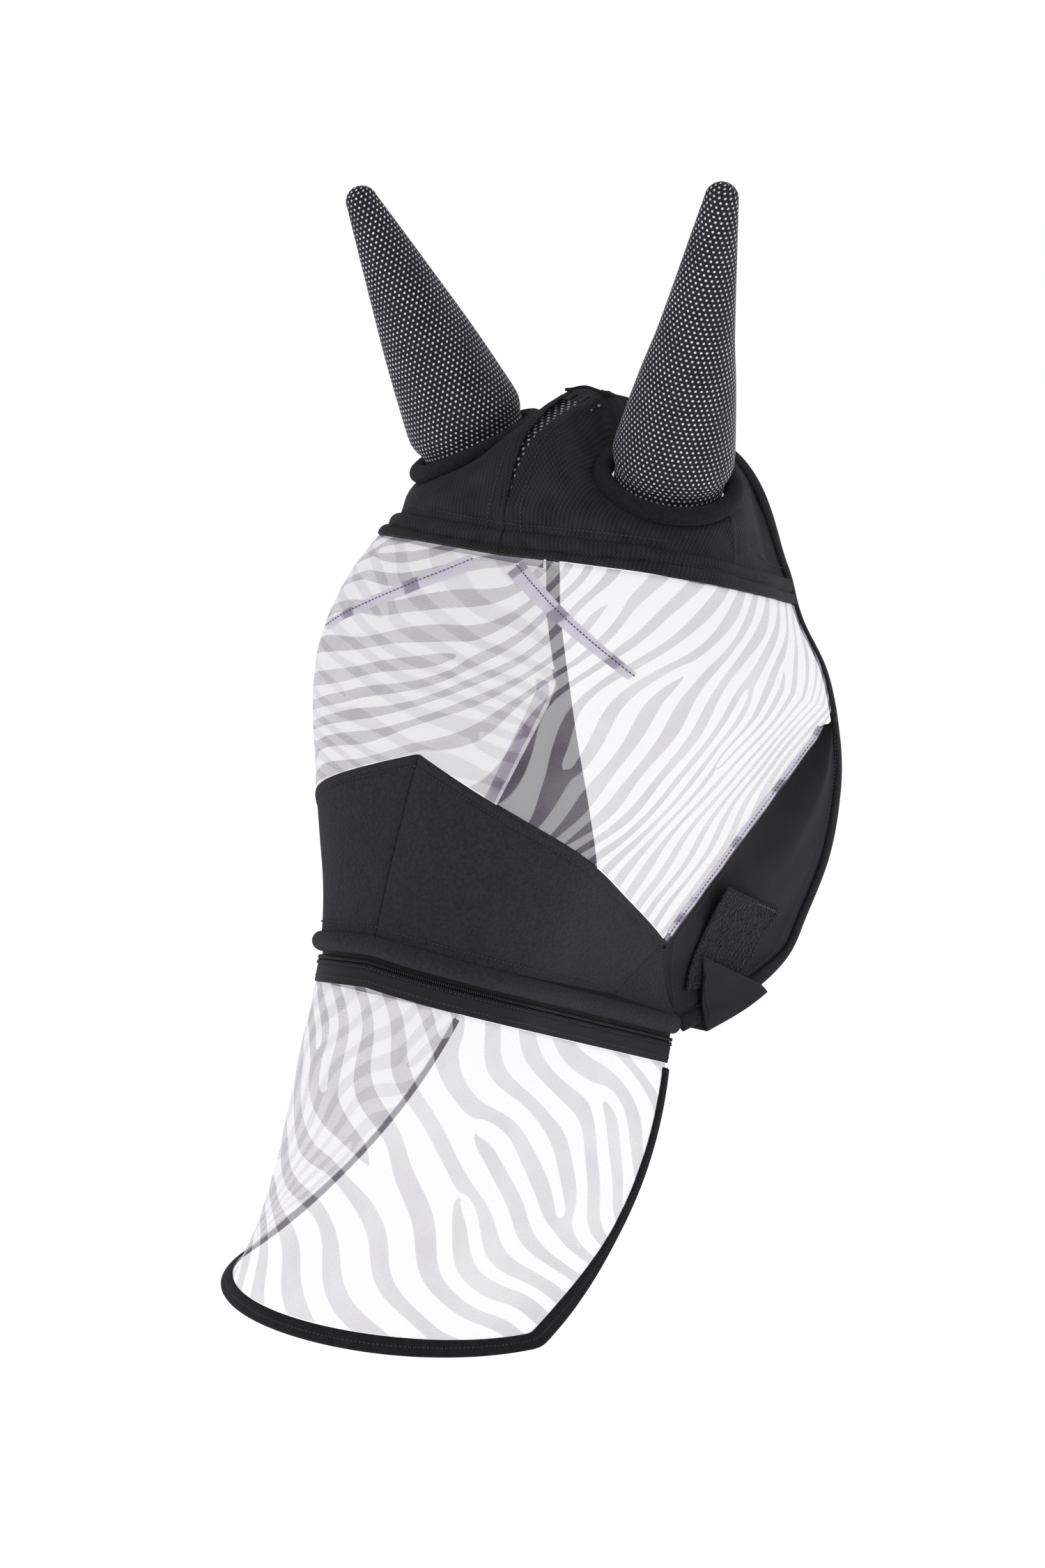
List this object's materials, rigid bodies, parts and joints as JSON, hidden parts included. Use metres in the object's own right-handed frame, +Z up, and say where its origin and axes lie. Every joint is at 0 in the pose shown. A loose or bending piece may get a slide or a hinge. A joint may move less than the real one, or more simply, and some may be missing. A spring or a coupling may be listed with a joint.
{
  "type": "horse fly mask",
  "caption": "Full-head fly mask for a horse, with net ear covers, a sheer striped face mesh, a fleece nose panel, a jaw closure and a zip-off mesh nose flap.",
  "frame": {"origin": "underside of the crown at the poll, midway between the ears, where the mask hangs on the horse's head", "axes": "+Z up, the horse faces -Y, and its left side is +X; the face line leans 18 degrees forward of the vertical"},
  "size_m": [0.317, 0.4875, 0.7474],
  "materials": {
    "knit_black": "knitted pique",
    "ear_mesh_black": "pinhole net",
    "fleece_black": "short fleece",
    "jersey_black": "smooth jersey",
    "zebra_mesh": "fine sheer woven mesh with pale stripes",
    "binding_black": "folded bias binding",
    "zip_tape": "herringbone tape",
    "zip_coil": "nylon coil",
    "zip_metal": "black enamel on zinc",
    "hook_tape": "hook tape",
    "loop_tape": "loop pile"
  },
  "bodies": {
    "mask": {"brow_hem_left": "knit_black", "brow_hem_right": "knit_black", "cheek_binding_left": "binding_black", "cheek_binding_right": "binding_black", "cheek_panel_left": "jersey_black", "cheek_panel_right": "jersey_black", "crown_front_left": "knit_black", "crown_front_right": "knit_black", "crown_side_left": "knit_black", "crown_side_right": "knit_black", "ear_ring_left": "fleece_black", "ear_ring_right": "fleece_black", "edge_binding_poll": "binding_black", "eye_dart_left": "zebra_mesh", "eye_dart_right": "zebra_mesh", "face_mesh": "zebra_mesh", "loop_pad": "loop_tape", "mesh_seam_left": "zebra_mesh", "mesh_seam_right": "zebra_mesh", "nose_gusset_left": "fleece_black", "nose_gusset_right": "fleece_black", "nose_hem_roll": "fleece_black", "nose_panel_left": "fleece_black", "nose_panel_right": "fleece_black", "poll_band": "binding_black", "poll_net": "ear_mesh_black", "zip_coil_upper": "zip_coil", "zip_tape_upper": "zip_tape"},
    "ear_left": {"ear_cover_left": "ear_mesh_black"},
    "ear_right": {"ear_cover_right": "ear_mesh_black"},
    "jaw_tab": {"closure_tab": "jersey_black", "hook_pad": "hook_tape"},
    "flap_zip_half": {"zip_tape_lower": "zip_tape", "zip_coil_lower": "zip_coil"},
    "nose_flap": {"nose_flap": "zebra_mesh", "flap_binding": "binding_black"},
    "zip_slider": {"zip_slider": "zip_metal"},
    "zip_pull": {"zip_pull": "zip_metal"}
  },
  "joints": [
    {"name": "ear_left_swivel", "type": "hinge", "parent": "mask", "child": "ear_left", "pos_m": [0.08, -0.0306, -0.0521], "axis": [0.9493, 0.0658, -0.3073], "range_deg": [-8, 8]},
    {"name": "ear_right_swivel", "type": "hinge", "parent": "mask", "child": "ear_right", "pos_m": [-0.08, -0.03224, -0.0442], "axis": [0.9348, -0.0868, 0.3444], "range_deg": [-8, 8]},
    {"name": "jaw_tab_peel", "type": "hinge", "parent": "mask", "child": "jaw_tab", "pos_m": [-0.08859, 0.08322, -0.44184], "axis": [0.0745, 0.9962, 0.0444], "range_deg": [0, 100]},
    {"name": "flap_unzip", "type": "slide", "parent": "mask", "child": "flap_zip_half", "axis": [0, -0.309, -0.9511], "range_m": [0, 0.08]},
    {"name": "nose_flap_lift", "type": "hinge", "parent": "flap_zip_half", "child": "nose_flap", "pos_m": [0, -0.26415, -0.36315], "axis": [-1, 0, 0], "range_deg": [0, 35]},
    {"name": "slider_run", "type": "slide", "parent": "mask", "child": "zip_slider", "axis": [0.0868, -0.9186, 0.3854], "range_m": [0, 0.055]},
    {"name": "pull_swing", "type": "hinge", "parent": "zip_slider", "child": "zip_pull", "pos_m": [-0.09398, -0.04663, -0.44293], "axis": [0.0078, -0.3863, -0.9224], "range_deg": [0, 165]}
  ]
}
